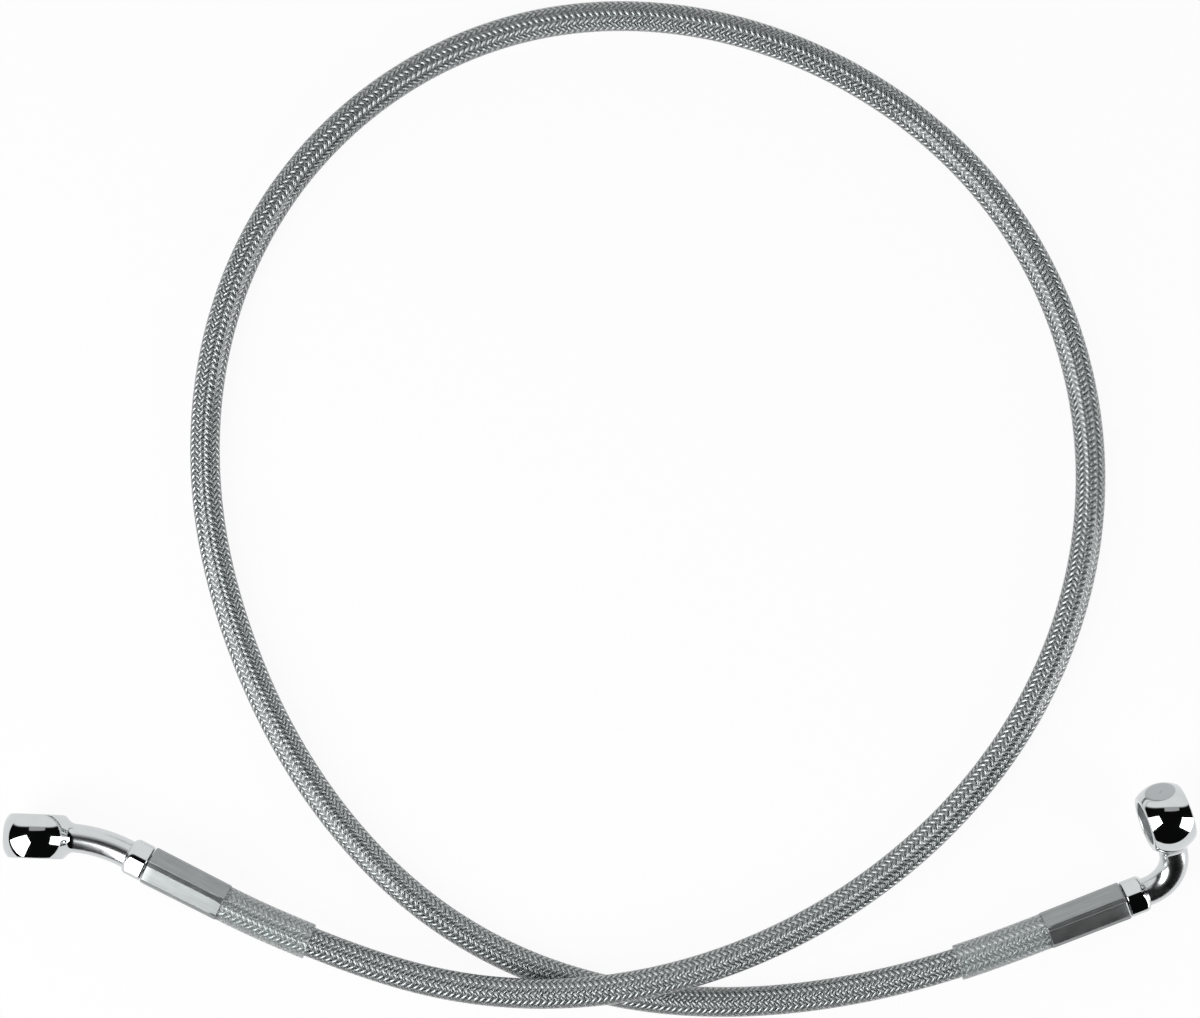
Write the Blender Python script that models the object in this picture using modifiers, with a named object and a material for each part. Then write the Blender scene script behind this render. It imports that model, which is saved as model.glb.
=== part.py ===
"""Braided hydraulic line: a clear-coated steel-braid hose with a crimped ball banjo on each end.

The line lies on a table in one loop, its left tail passing over its right tail.
Units are metres, +Z is up, and the origin is under the middle of the line on the table.
"""

import math

import bmesh
import bpy
import numpy as np
from mathutils import Matrix, Vector

# Hose layers, from the outside in
JACKET_R = 0.00355
JACKET_WALL = 0.0004
BRAID_R = 0.0030
BRAID_WALL = 0.0005
LINER_R = 0.0023
LINER_WALL = 0.0007
HOSE_SPACING = 0.0170
JACKET_BEVEL_STEPS = 4
CORE_BEVEL_STEPS = 2

# Six flats on the collars and wrench sections, as a share of the radius of the round lands between
FLATS = 6
FLAT_SHARE = 0.95

# Crimp collar, measured from its mouth, where the hose goes in
COLLAR_LENGTH = 0.0200
COLLAR_R_MOUTH = 0.00474
COLLAR_R_SHOULDER = 0.00486
COLLAR_CHAMFER = 0.0003
COLLAR_BORE_R = 0.0033
COLLAR_GRIP_LENGTH = 0.0034
COLLAR_GRIP_R = 0.0025

# Strain-relief sleeve over the end of the jacket
SLEEVE_R = 0.0043
SLEEVE_WALL = 0.0006
SLEEVE_LENGTH = 0.0225

# Banjo: ball eye, bent neck, six-sided wrench section and barbed nipple
BALL_R = 0.00825
EYE_THICKNESS = 0.0105
BOLT_HOLE_R = 0.00515
BALL_END_FLAT_R = 0.0036
NECK_R = 0.0034
NECK_ROOT = 0.0061
FLARE_R = 0.0051
FLARE_START = 0.0063
FLARE_END = 0.0092
FLARE_TIP_R = 0.00337
WRENCH_R = 0.00478
WRENCH_LENGTH = 0.0052
WRENCH_CHAMFER = 0.0010
SHANK_R = 0.0022
NIPPLE_R = 0.00118
BARB_R = 0.0014
BARB_PITCH = 0.0030
BARB_COUNT = 4
NIPPLE_TIP = 0.0035
PASSAGE_R = 0.0007

# Room between pieces that touch on the real line, and how far joined shapes run into each other
GAP = 0.0003
JOIN = 0.0020

# Facets of the turned pieces and of the neck's bend
EYE_STEPS = 40
COLLAR_STEPS = 36
NIPPLE_STEPS = 16
ARC_STEPS = 8
NECK_ARC_STEPS = 10
NECK_BEVEL_STEPS = 6
FLARE_STEPS = 32
FINE_STEPS = 40

# Middle line of the hose from the left collar's mouth to the right collar's mouth
ROUTE = [
    (-0.08875, -0.0939, 0.0075),
    (-0.0645, -0.1045, 0.0079),
    (-0.0396, -0.1122, 0.0093),
    (-0.0136, -0.1150, 0.0108),
    (0.0123, -0.1125, 0.0108),
    (0.0374, -0.1052, 0.0086),
    (0.0607, -0.0934, 0.0057),
    (0.0816, -0.0771, 0.0038),
    (0.0986, -0.0570, 0.0036),
    (0.1109, -0.0337, 0.0036),
    (0.1177, -0.0082, 0.0036),
    (0.1183, 0.0180, 0.0036),
    (0.1126, 0.0438, 0.0036),
    (0.1010, 0.0673, 0.0036),
    (0.0839, 0.0874, 0.0036),
    (0.0625, 0.1030, 0.0036),
    (0.0384, 0.1135, 0.0036),
    (0.0126, 0.1182, 0.0036),
    (-0.0138, 0.1164, 0.0036),
    (-0.0385, 0.1077, 0.0036),
    (-0.0602, 0.0927, 0.0036),
    (-0.0773, 0.0725, 0.0036),
    (-0.0885, 0.0486, 0.0036),
    (-0.0934, 0.0228, 0.0036),
    (-0.0924, -0.0035, 0.0036),
    (-0.0861, -0.0291, 0.0036),
    (-0.0756, -0.0534, 0.0036),
    (-0.0611, -0.0753, 0.0036),
    (-0.0424, -0.0940, 0.0036),
    (-0.0201, -0.1077, 0.0036),
    (0.0050, -0.1158, 0.0036),
    (0.0312, -0.1182, 0.0036),
    (0.0576, -0.1159, 0.0038),
    (0.0832, -0.1098, 0.0044),
    (0.10795, -0.10092, 0.0049),
]

# The two ends: heading of the collar on the table, lean of the bend's plane up from the table,
# the bend from the collar to the eye with its straight runs, and the turn from the bend's
# inside to one of the round lands between the flats
ENDS = {
    "left": {
        "heading": math.radians(153.0),
        "lean": math.radians(7.8),
        "bend": math.radians(24.65),
        "bend_r": 0.0350,
        "straight_run": 0.0007,
        "eye_run": 0.00675,
        "land_turn": math.radians(35.0),
        "flex_pivot": (-0.0396, -0.1122, 0.0093),
    },
    "right": {
        "heading": math.radians(21.3),
        "lean": math.radians(27.2),
        "bend": math.radians(86.7),
        "bend_r": 0.0083,
        "straight_run": 0.0009,
        "eye_run": 0.0107,
        "land_turn": math.radians(51.5),
        "flex_pivot": (0.0576, -0.1159, 0.0038),
    },
}

# Finishes: colour, roughness, metallic, alpha
FINISHES = {
    "clear_vinyl": ((0.80, 0.83, 0.83), 0.15, 0.0, 0.35),
    "stainless_braid": ((0.42, 0.45, 0.45), 0.35, 1.0, 1.0),
    "white_ptfe": ((0.90, 0.90, 0.88), 0.45, 0.0, 1.0),
    "crimped_steel": ((0.47, 0.48, 0.48), 0.38, 1.0, 1.0),
    "chrome_plate": ((0.80, 0.81, 0.82), 0.06, 1.0, 1.0),
    "clear_shrink_sleeve": ((0.78, 0.80, 0.80), 0.30, 0.0, 0.5),
}


def clear_scene():
    for obj in list(bpy.data.objects):
        bpy.data.objects.remove(obj, do_unlink=True)


def new_collection(name):
    collection = bpy.data.collections.new(name)
    bpy.context.scene.collection.children.link(collection)
    return collection


def finish(name):
    """The named finish as a material, made once."""
    material = bpy.data.materials.get(name)
    if material is None:
        colour, roughness, metallic, alpha = FINISHES[name]
        material = bpy.data.materials.new(name)
        material.use_nodes = True
        shader = material.node_tree.nodes["Principled BSDF"]
        shader.inputs["Base Color"].default_value = (*colour, 1.0)
        shader.inputs["Roughness"].default_value = roughness
        shader.inputs["Metallic"].default_value = metallic
        shader.inputs["Alpha"].default_value = alpha
    return material


def distances(line):
    """How far along a line of points each of them is."""
    return np.concatenate(([0.0], np.cumsum(np.linalg.norm(np.diff(line, axis=0), axis=1))))


def smooth_line(points, start_direction, end_direction, spacing):
    """Evenly spaced points on the cubic spline through the points, with its end directions given."""
    through = np.array(points)
    steps = np.linalg.norm(np.diff(through, axis=0), axis=1)
    count = len(through)
    system = np.eye(count)
    wanted = np.zeros((count, 3))
    wanted[0] = start_direction
    wanted[-1] = end_direction
    for i in range(1, count - 1):
        before, after = steps[i - 1], steps[i]
        system[i, i - 1 : i + 2] = (after, 2 * (before + after), before)
        rise_before = (through[i] - through[i - 1]) / before
        rise_after = (through[i + 1] - through[i]) / after
        wanted[i] = 3 * (after * rise_before + before * rise_after)
    slopes = np.linalg.solve(system, wanted)
    fine = []
    for i in range(count - 1):
        u = np.linspace(0, 1, FINE_STEPS, endpoint=False)[:, None]
        fine.append(
            (1 + 2 * u) * (1 - u) ** 2 * through[i]
            + u * (1 - u) ** 2 * steps[i] * slopes[i]
            + u**2 * (3 - 2 * u) * through[i + 1]
            + u**2 * (u - 1) * steps[i] * slopes[i + 1]
        )
    fine = np.vstack(fine + [through[-1:]])
    along = distances(fine)
    even = np.linspace(0, along[-1], round(along[-1] / spacing) + 1)
    return np.column_stack([np.interp(even, along, fine[:, k]) for k in range(3)])


def stretch(line, start, end):
    """The part of a line of points between two distances along it."""
    along = distances(line)
    inner = line[(along > start) & (along < end)]
    ends = [[np.interp(at, along, line[:, k]) for k in range(3)] for at in (start, end)]
    return np.vstack([ends[0], inner, ends[1]])


def swept_curve(name, line, radius, bevel_steps):
    """A round curve object along a line of points, open at both ends."""
    curve = bpy.data.curves.new(name, "CURVE")
    curve.dimensions = "3D"
    curve.twist_mode = "Z_UP"
    curve.bevel_depth = radius
    curve.bevel_resolution = bevel_steps
    spline = curve.splines.new("POLY")
    spline.points.add(len(line) - 1)
    for point, place in zip(spline.points, line):
        point.co = (*place, 1.0)
    return bpy.data.objects.new(name, curve)


def hose_layer(name, line, radius, wall, bevel_steps, material):
    """A tube wall that follows the hose."""
    layer = swept_curve(name, line, radius, bevel_steps)
    shell = layer.modifiers.new("wall", "SOLIDIFY")
    shell.thickness = wall
    shell.offset = -1
    layer.data.materials.append(finish(material))
    return layer


def swept_mesh(name, line, radius, bevel_steps):
    """A closed round bar along a line of points, as a mesh that can be joined or cut with."""
    guide = swept_curve(name + "_guide", line, radius, bevel_steps)
    guide.data.use_fill_caps = True
    bpy.context.scene.collection.objects.link(guide)
    bpy.context.view_layer.update()
    evaluated = guide.evaluated_get(bpy.context.evaluated_depsgraph_get())
    mesh = bpy.data.meshes.new_from_object(evaluated)
    bpy.data.objects.remove(guide, do_unlink=True)
    shape = bmesh.new()
    shape.from_mesh(mesh)
    bmesh.ops.remove_doubles(shape, verts=shape.verts, dist=1e-6)
    bmesh.ops.recalc_face_normals(shape, faces=shape.faces)
    shape.to_mesh(mesh)
    shape.free()
    mesh.name = name
    return bpy.data.objects.new(name, mesh)


def turned(name, profile, steps, closed):
    """A profile of (radius, height) points, outer side first from top to bottom, turned about Z."""
    count = len(profile)
    edges = [(i, (i + 1) % count) for i in range(count if closed else count - 1)]
    mesh = bpy.data.meshes.new(name)
    mesh.from_pydata([(r, 0.0, z) for r, z in profile], edges, [])
    shape = bpy.data.objects.new(name, mesh)
    screw = shape.modifiers.new("turn", "SCREW")
    screw.steps = steps
    screw.render_steps = steps
    screw.use_merge_vertices = True
    screw.merge_threshold = 1e-6
    screw.use_smooth_shade = True
    return shape


def frustum(name, base_r, top_r, length, segments):
    """An upright cone frustum standing on its own origin, with a corner on +Y."""
    mesh = bpy.data.meshes.new(name)
    shape = bmesh.new()
    bmesh.ops.create_cone(
        shape, cap_ends=True, segments=segments, radius1=base_r, radius2=top_r, depth=length
    )
    bmesh.ops.translate(shape, verts=shape.verts, vec=(0, 0, length / 2))
    shape.to_mesh(mesh)
    shape.free()
    return bpy.data.objects.new(name, mesh)


def combine(obj, operation, other, place):
    """Joins another shape to an object or cuts it away, with the shape kept hidden as a helper."""
    other.matrix_world = place
    other.hide_render = True
    other.display_type = "WIRE"
    bpy.data.collections["cutters"].objects.link(other)
    boolean = obj.modifiers.new(other.name, "BOOLEAN")
    boolean.operation = operation
    boolean.object = other


def press_flats(obj, place, turn, low, high):
    """Cuts six flats on a turned shape between two (height, land radius) levels, past both of them."""
    (low_z, low_r), (high_z, high_r) = low, high
    slope = (high_r - low_r) / (high_z - low_z)
    corner = FLAT_SHARE / math.cos(math.pi / FLATS)
    base_r = corner * (low_r - slope * JOIN)
    top_r = corner * (high_r + slope * JOIN)
    dies = frustum(obj.name + "_dies", base_r, top_r, high_z - low_z + 2 * JOIN, FLATS)
    from_y = turn - math.pi / 2
    at = Matrix.Rotation(from_y, 4, "Z") @ Matrix.Translation((0, 0, low_z - JOIN))
    combine(obj, "INTERSECT", dies, place @ at)


def frame_of(x_axis, z_axis, place):
    """A placement from its X and Z directions and its origin."""
    y_axis = z_axis.cross(x_axis)
    turn = Matrix((x_axis, y_axis, z_axis)).transposed()
    return Matrix.Translation(place) @ turn.to_4x4()


def mouth_frame(end):
    """The placement of an end at its collar's mouth: Z along the collar, X to the bend's inside."""
    heading, lean = end["heading"], end["lean"]
    axis = Vector((math.cos(heading), math.sin(heading), 0.0))
    side = Vector((-math.sin(heading), math.cos(heading), 0.0))
    bend_side = math.cos(lean) * side + math.sin(lean) * Vector((0.0, 0.0, 1.0))
    return frame_of(bend_side, axis, Vector(end["mouth"]))


def neck_line(end):
    """Middle line of a banjo from the nipple's tip to the eye's centre, in its mouth frame."""
    bend, bend_r = end["bend"], end["bend_r"]
    bend_start = COLLAR_LENGTH + GAP + WRENCH_LENGTH + end["straight_run"]
    line = [(0.0, 0.0, 0.0), (0.0, 0.0, bend_start)]
    for i in range(1, NECK_ARC_STEPS + 1):
        turn = bend * i / NECK_ARC_STEPS
        line.append((bend_r * (1 - math.cos(turn)), 0.0, bend_start + bend_r * math.sin(turn)))
    towards_eye = Vector((math.sin(bend), 0.0, math.cos(bend)))
    return line, Vector(line[-1]) + end["eye_run"] * towards_eye, towards_eye


def eye_profile():
    """Section of the ball eye about its bolt hole: ball outside, two flat faces, plain bore."""
    half = EYE_THICKNESS / 2
    reach = math.asin(half / BALL_R)
    angles = [reach * (1 - 2 * i / ARC_STEPS) for i in range(ARC_STEPS + 1)]
    ball = [(BALL_R * math.cos(a), BALL_R * math.sin(a)) for a in angles]
    return ball + [(BOLT_HOLE_R, -half), (BOLT_HOLE_R, half)]


def nipple_profile():
    """Shank in the collar's grip, then barbs inside the liner."""
    shank_end = COLLAR_LENGTH - COLLAR_GRIP_LENGTH - GAP
    root = COLLAR_LENGTH + JOIN
    profile = [(0.0, root), (SHANK_R, root), (SHANK_R, shank_end)]
    for i in range(BARB_COUNT):
        top = shank_end - i * BARB_PITCH
        profile += [(NIPPLE_R, top), (NIPPLE_R, top - 0.4 * BARB_PITCH), (BARB_R, top - 0.45 * BARB_PITCH)]
    return profile + [(NIPPLE_R, NIPPLE_TIP), (0.0, NIPPLE_TIP)]


def wrench_profile(start):
    """A short solid bar, chamfered where the neck comes out."""
    end = start + WRENCH_LENGTH
    chamfer_r = WRENCH_R - WRENCH_CHAMFER
    return [(0.0, end), (chamfer_r, end), (WRENCH_R, end - WRENCH_CHAMFER), (WRENCH_R, start), (0.0, start)]


def make_banjo(name, end, place):
    """Ball eye, neck, wrench section and nipple as one piece, drilled through for the fluid."""
    line, eye, outward = neck_line(end)
    bore_axis = Vector((math.cos(end["bend"]), 0.0, -math.sin(end["bend"])))
    eye_place = place @ frame_of(outward, bore_axis, eye)
    banjo = turned(name, eye_profile(), EYE_STEPS, closed=True)
    banjo.matrix_world = eye_place
    flat_at = math.sqrt(BALL_R**2 - BALL_END_FLAT_R**2)
    end_cutter = frustum(name + "_end_flat", 2 * BALL_R, 2 * BALL_R, BALL_R, 4)
    along_neck = Matrix.Rotation(math.pi / 2, 4, "Y")
    combine(
        banjo, "DIFFERENCE", end_cutter,
        eye_place @ along_neck @ Matrix.Translation((0, 0, flat_at)),
    )
    flare = frustum(name + "_flare", FLARE_R, FLARE_TIP_R, FLARE_END - FLARE_START, FLARE_STEPS)
    towards_neck = Matrix.Rotation(-math.pi / 2, 4, "Y")
    combine(
        banjo, "UNION", flare,
        eye_place @ towards_neck @ Matrix.Translation((0, 0, FLARE_START)),
    )
    neck_end = eye - NECK_ROOT * outward
    wrench_start = COLLAR_LENGTH + GAP
    neck_points = [(0.0, 0.0, wrench_start + WRENCH_LENGTH / 2)] + line[1:] + [tuple(neck_end)]
    neck_points = [place @ Vector(p) for p in neck_points]
    neck = swept_mesh(name + "_neck", neck_points, NECK_R, NECK_BEVEL_STEPS)
    combine(banjo, "UNION", neck, Matrix.Identity(4))
    wrench = turned(name + "_wrench", wrench_profile(wrench_start), COLLAR_STEPS, closed=False)
    wrench_levels = [(wrench_start, WRENCH_R), (wrench_start + WRENCH_LENGTH, WRENCH_R)]
    press_flats(wrench, place, end["land_turn"], *wrench_levels)
    combine(banjo, "UNION", wrench, place)
    nipple = turned(name + "_nipple", nipple_profile(), NIPPLE_STEPS, closed=False)
    combine(banjo, "UNION", nipple, place)
    drill_points = [place @ Vector(p) for p in line + [tuple(eye)]]
    drill = swept_mesh(name + "_drill", drill_points, PASSAGE_R, CORE_BEVEL_STEPS)
    combine(banjo, "DIFFERENCE", drill, Matrix.Identity(4))
    banjo.data.materials.append(finish("chrome_plate"))
    return banjo


def make_collar(name, end, place):
    """Crimp collar: a turned sleeve with a grip on the nipple, pressed to six long flats."""
    grip_start = COLLAR_LENGTH - COLLAR_GRIP_LENGTH
    profile = [
        (COLLAR_R_SHOULDER - COLLAR_CHAMFER, COLLAR_LENGTH),
        (COLLAR_R_SHOULDER, COLLAR_LENGTH - COLLAR_CHAMFER),
        (COLLAR_R_MOUTH, COLLAR_CHAMFER),
        (COLLAR_R_MOUTH - COLLAR_CHAMFER, 0.0),
        (COLLAR_BORE_R, 0.0),
        (COLLAR_BORE_R, grip_start),
        (COLLAR_GRIP_R, grip_start),
        (COLLAR_GRIP_R, COLLAR_LENGTH),
    ]
    collar = turned(name, profile, COLLAR_STEPS, closed=True)
    collar.matrix_world = place
    collar_levels = [(0.0, COLLAR_R_MOUTH), (COLLAR_LENGTH, COLLAR_R_SHOULDER)]
    press_flats(collar, place, end["land_turn"], *collar_levels)
    collar.data.materials.append(finish("crimped_steel"))
    return collar


def hang_on(parts, pivot):
    """Parents the parts to an empty on their joint's axis, leaving them where they are."""
    for part in parts:
        place = part.matrix_world.copy()
        part.parent = pivot
        part.matrix_parent_inverse = Matrix.Translation(pivot.location).inverted()
        part.matrix_basis = place


def main():
    clear_scene()
    line_parts = new_collection("braided_line")
    new_collection("cutters")
    ENDS["left"]["mouth"] = ROUTE[0]
    ENDS["right"]["mouth"] = ROUTE[-1]
    frames = {side: mouth_frame(end) for side, end in ENDS.items()}
    headings = {side: np.array(frame.to_3x3().col[2]) for side, frame in frames.items()}

    # One middle line for every layer, straight inside the collars up to the nipples' shanks
    inside = COLLAR_LENGTH - COLLAR_GRIP_LENGTH - 3 * GAP
    free_hose = smooth_line(ROUTE, -headings["left"], headings["right"], HOSE_SPACING)
    left_tip = free_hose[0] + inside * headings["left"]
    right_tip = free_hose[-1] + inside * headings["right"]
    whole_hose = np.vstack([left_tip, free_hose, right_tip])
    jacket_end = distances(free_hose)[-1] - GAP
    jacket_line = stretch(free_hose, GAP, jacket_end)
    sleeve_lines = {
        "left": stretch(free_hose, GAP, GAP + SLEEVE_LENGTH),
        "right": stretch(free_hose, jacket_end - SLEEVE_LENGTH, jacket_end),
    }

    layers = [
        hose_layer("hose_liner", whole_hose, LINER_R, LINER_WALL, CORE_BEVEL_STEPS, "white_ptfe"),
        hose_layer("hose_braid", whole_hose, BRAID_R, BRAID_WALL, CORE_BEVEL_STEPS, "stainless_braid"),
        hose_layer("hose_jacket", jacket_line, JACKET_R, JACKET_WALL, JACKET_BEVEL_STEPS, "clear_vinyl"),
    ]
    for layer in layers:
        line_parts.objects.link(layer)

    for side, end in ENDS.items():
        pivot = bpy.data.objects.new(side + "_end_pivot", None)
        pivot.location = end["flex_pivot"]
        line_parts.objects.link(pivot)
        sleeve = hose_layer(
            side + "_strain_relief_sleeve", sleeve_lines[side],
            SLEEVE_R, SLEEVE_WALL, JACKET_BEVEL_STEPS, "clear_shrink_sleeve",
        )
        parts = [
            make_banjo(side + "_banjo_fitting", end, frames[side]),
            make_collar(side + "_crimp_collar", end, frames[side]),
            sleeve,
        ]
        for part in parts:
            line_parts.objects.link(part)
        hang_on(parts, pivot)


main()
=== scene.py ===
"""Looks of the braided hydraulic line: woven steel strands in a clear coat, chromed ball banjos,
crimped steel collars and clear strain-relief sleeves, lying on a white table under soft boxes.

Units are metres, +Z is up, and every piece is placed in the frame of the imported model.
"""

import itertools
import math

import bpy
import numpy as np
from mathutils import Matrix, Vector


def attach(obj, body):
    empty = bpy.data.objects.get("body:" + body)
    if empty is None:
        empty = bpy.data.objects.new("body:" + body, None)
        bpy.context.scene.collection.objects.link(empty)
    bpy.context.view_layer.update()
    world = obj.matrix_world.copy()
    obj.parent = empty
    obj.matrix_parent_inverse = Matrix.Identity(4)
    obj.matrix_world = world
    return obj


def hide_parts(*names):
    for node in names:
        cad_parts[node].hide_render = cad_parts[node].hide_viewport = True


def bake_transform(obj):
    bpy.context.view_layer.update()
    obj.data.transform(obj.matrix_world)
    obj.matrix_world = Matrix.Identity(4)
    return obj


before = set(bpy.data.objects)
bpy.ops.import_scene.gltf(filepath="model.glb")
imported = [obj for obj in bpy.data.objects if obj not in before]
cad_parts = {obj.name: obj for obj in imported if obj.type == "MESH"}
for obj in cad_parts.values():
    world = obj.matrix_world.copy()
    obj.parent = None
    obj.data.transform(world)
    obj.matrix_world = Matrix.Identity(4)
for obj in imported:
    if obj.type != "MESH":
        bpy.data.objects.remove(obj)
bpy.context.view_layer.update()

MM = 0.001
COS_45 = math.sqrt(0.5)

# Camera straight above the table, so that one photo pixel is 0.24 mm at the hose's height
PHOTO_WIDTH = 1200
PIXEL_SIZE = 0.24 * MM
CAMERA_PLACE = (0.0011, 0.0001, 0.677)
HOSE_HEIGHT = 0.0036
SENSOR_WIDTH = 36.0

# Middle line of the hose from the left collar's mouth to the right collar's mouth
ROUTE = [
    (-0.08875, -0.0939, 0.0075),
    (-0.0645, -0.1045, 0.0079),
    (-0.0396, -0.1122, 0.0093),
    (-0.0136, -0.1150, 0.0108),
    (0.0123, -0.1125, 0.0108),
    (0.0374, -0.1052, 0.0086),
    (0.0607, -0.0934, 0.0057),
    (0.0816, -0.0771, 0.0038),
    (0.0986, -0.0570, 0.0036),
    (0.1109, -0.0337, 0.0036),
    (0.1177, -0.0082, 0.0036),
    (0.1183, 0.0180, 0.0036),
    (0.1126, 0.0438, 0.0036),
    (0.1010, 0.0673, 0.0036),
    (0.0839, 0.0874, 0.0036),
    (0.0625, 0.1030, 0.0036),
    (0.0384, 0.1135, 0.0036),
    (0.0126, 0.1182, 0.0036),
    (-0.0138, 0.1164, 0.0036),
    (-0.0385, 0.1077, 0.0036),
    (-0.0602, 0.0927, 0.0036),
    (-0.0773, 0.0725, 0.0036),
    (-0.0885, 0.0486, 0.0036),
    (-0.0934, 0.0228, 0.0036),
    (-0.0924, -0.0035, 0.0036),
    (-0.0861, -0.0291, 0.0036),
    (-0.0756, -0.0534, 0.0036),
    (-0.0611, -0.0753, 0.0036),
    (-0.0424, -0.0940, 0.0036),
    (-0.0201, -0.1077, 0.0036),
    (0.0050, -0.1158, 0.0036),
    (0.0312, -0.1182, 0.0036),
    (0.0576, -0.1159, 0.0038),
    (0.0832, -0.1098, 0.0044),
    (0.10795, -0.10092, 0.0049),
]
LINE_SPACING = 0.25 * MM
FINE_STEPS = 200

# The two ends: heading of the collar on the table, lean of the bend's plane up from the table, the
# bend of the neck with its radius and the straight runs before and after it, the turn from the bend's
# inside to one of the round lands between the flats, and the stretch in X where the joint bends the hose
ENDS = {
    "left": {
        "heading": math.radians(153.0),
        "lean": math.radians(7.8),
        "bend": math.radians(24.65),
        "bend_r": 0.0350,
        "straight_run": 0.0007,
        "eye_run": 0.00675,
        "land_turn": math.radians(35.0),
        "flex_x": (-0.014, -0.065),
    },
    "right": {
        "heading": math.radians(21.3),
        "lean": math.radians(27.2),
        "bend": math.radians(86.7),
        "bend_r": 0.0083,
        "straight_run": 0.0009,
        "eye_run": 0.0107,
        "land_turn": math.radians(51.5),
        "flex_x": (0.033, 0.084),
    },
}

# Clear coat of the hose, extruded down between the strands of the braid
JACKET_R = 3.55 * MM
JACKET_BORE_R = 2.52 * MM
JACKET_STEP = 1.0 * MM
JACKET_AROUND = 64
JACKET_END_GAP = 0.05 * MM

# Liner under the braid
LINER_R = 2.45 * MM
LINER_BORE_R = 1.60 * MM
LINER_STEP = 2.0 * MM
LINER_AROUND = 32
HOSE_IN_COLLAR = 15.7 * MM

# Braid: strands over two and under two, twelve each way round
STRANDS = 12
LAY = 17.3 * MM
BRAID_MID_R = 2.80 * MM
STRAND_WIDTH = 1.00 * MM
STRAND_CROWN = 0.17 * MM
STRAND_SWING = 0.16 * MM
SWING_SHARPNESS = 1.6
RINGS_PER_CROSSING = 2
BRAID_IN_COLLAR = 3.0 * MM
STRANDS_PER_PIECE = 6

# Section of a strand, as shares of half its width across it and of its crown up from its middle
STRAND_SECTION = [
    (-1, 0),
    (-0.62, 0.8),
    (0, 1),
    (0.62, 0.8),
    (1, 0),
    (0.62, -0.5),
    (0, -0.6),
    (-0.62, -0.5),
]

# Strain-relief sleeve
SLEEVE_R = 4.30 * MM
SLEEVE_BORE_R = 3.50 * MM
SLEEVE_LENGTH = 22.5 * MM
SLEEVE_STEP = 0.5 * MM
SLEEVE_ROUNDING = 0.2 * MM
SLEEVE_AROUND = 96
SLEEVE_FADE = 0.5 * MM

# Six flats on the collars and wrench sections, as a share of the radius of the round lands between
FLATS = 6
FLAT_SHARE = 0.92

# Crimp collar, measured from its mouth
COLLAR_LENGTH = 20.0 * MM
COLLAR_R_MOUTH = 4.74 * MM
COLLAR_R_SHOULDER = 4.86 * MM
COLLAR_MOUTH_EDGE = 0.15 * MM
SHOULDER_ROUNDING = 0.40 * MM
SHOULDER_ROWS = 5
COLLAR_BORE_R = 3.30 * MM
COLLAR_GRIP_LENGTH = 3.4 * MM
COLLAR_GRIP_R = 2.50 * MM
LAND_EDGE_ANGLE = math.radians(0.7)
DIE_RIDGE = 0.04 * MM
FLAT_CROWN = 0.08 * MM
POINTS_ON_LAND = 6
POINTS_ON_FLAT = 14
COLLAR_ROWS = 12
COLLAR_SHARP_ANGLE = math.radians(40)

# Banjo: ball eye with a cone behind it, bent neck, wrench section and barbed nipple in one piece
BALL_R = 8.25 * MM
EYE_THICKNESS = 10.5 * MM
BOLT_HOLE_R = 5.15 * MM
BALL_END_FLAT_R = 3.6 * MM
CENTRE_MARK_R = 0.5 * MM
CENTRE_MARK_RISE = 0.30 * MM
NECK_R = 3.4 * MM
NECK_SIDE_R = 8.65 * MM
BOSS_SLOPE = math.radians(48.5)
WRENCH_START = 20.3 * MM
WRENCH_LENGTH = 5.2 * MM
WRENCH_R = 4.78 * MM
WRENCH_CHAMFER = 1.05 * MM
WRENCH_CHAMFER_SOFTNESS = 0.40 * MM
WRENCH_END_SOFTNESS = 0.45 * MM
LAND_SOFTNESS = 0.05 * MM
SHANK_R = 2.2 * MM
SHANK_START = 16.3 * MM
NIPPLE_R = 1.18 * MM
BARB_R = 1.40 * MM
BARB_PITCH = 3.0 * MM
NIPPLE_TIP = 3.5 * MM
SHANK_IN_WRENCH = 1.0 * MM
PASSAGE_R = 0.7 * MM
EDGE_SOFTNESS = 0.30 * MM
BORE_EDGE_SOFTNESS = 0.60 * MM
CREASE_SOFTNESS = 0.70 * MM
SMALL_SOFTNESS = 0.10 * MM

# Finish of the banjo: satin roughness, the share of it on each turned surface, and how far they reach
SATIN_ROUGHNESS = 0.30
SATIN_BORE = 1.0
SATIN_END_FLAT = 0.65
SATIN_NECK = 0.55
SATIN_REACH = 0.15 * MM
SATIN_FADE = 0.5 * MM
FACED_EDGE = (-0.06 * MM, 0.02 * MM)

# Mesh of the banjo, in cells of one size
BANJO_CELL = 0.165 * MM
MARGIN_CELLS = 4
COARSE_CELLS = 4
NEAR_CELLS = 14
SLOPE_CELLS = 0.05
SNAP_ROUNDS = 4

# Marks in the materials: their length and width or a patch's size in millimetres, or a count around
WIRES_AROUND_STRAND = 4
WIRE_MARK_LENGTH = 1.25
WIRE_MARKS_AROUND = 12
COAT_MARK = (20.0, 0.833)
SLEEVE_PATCH = 2.857
LINER_PATCH = 4.0
CRIMP_MARK = (10.0, 0.286)
CRIMP_PATCH = 3.33
POLISH_PATCH = 2.222

# The part of a noise's range in which most of it lies
NOISE_SPREAD = {"From Min": 0.3, "From Max": 0.7}

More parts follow.
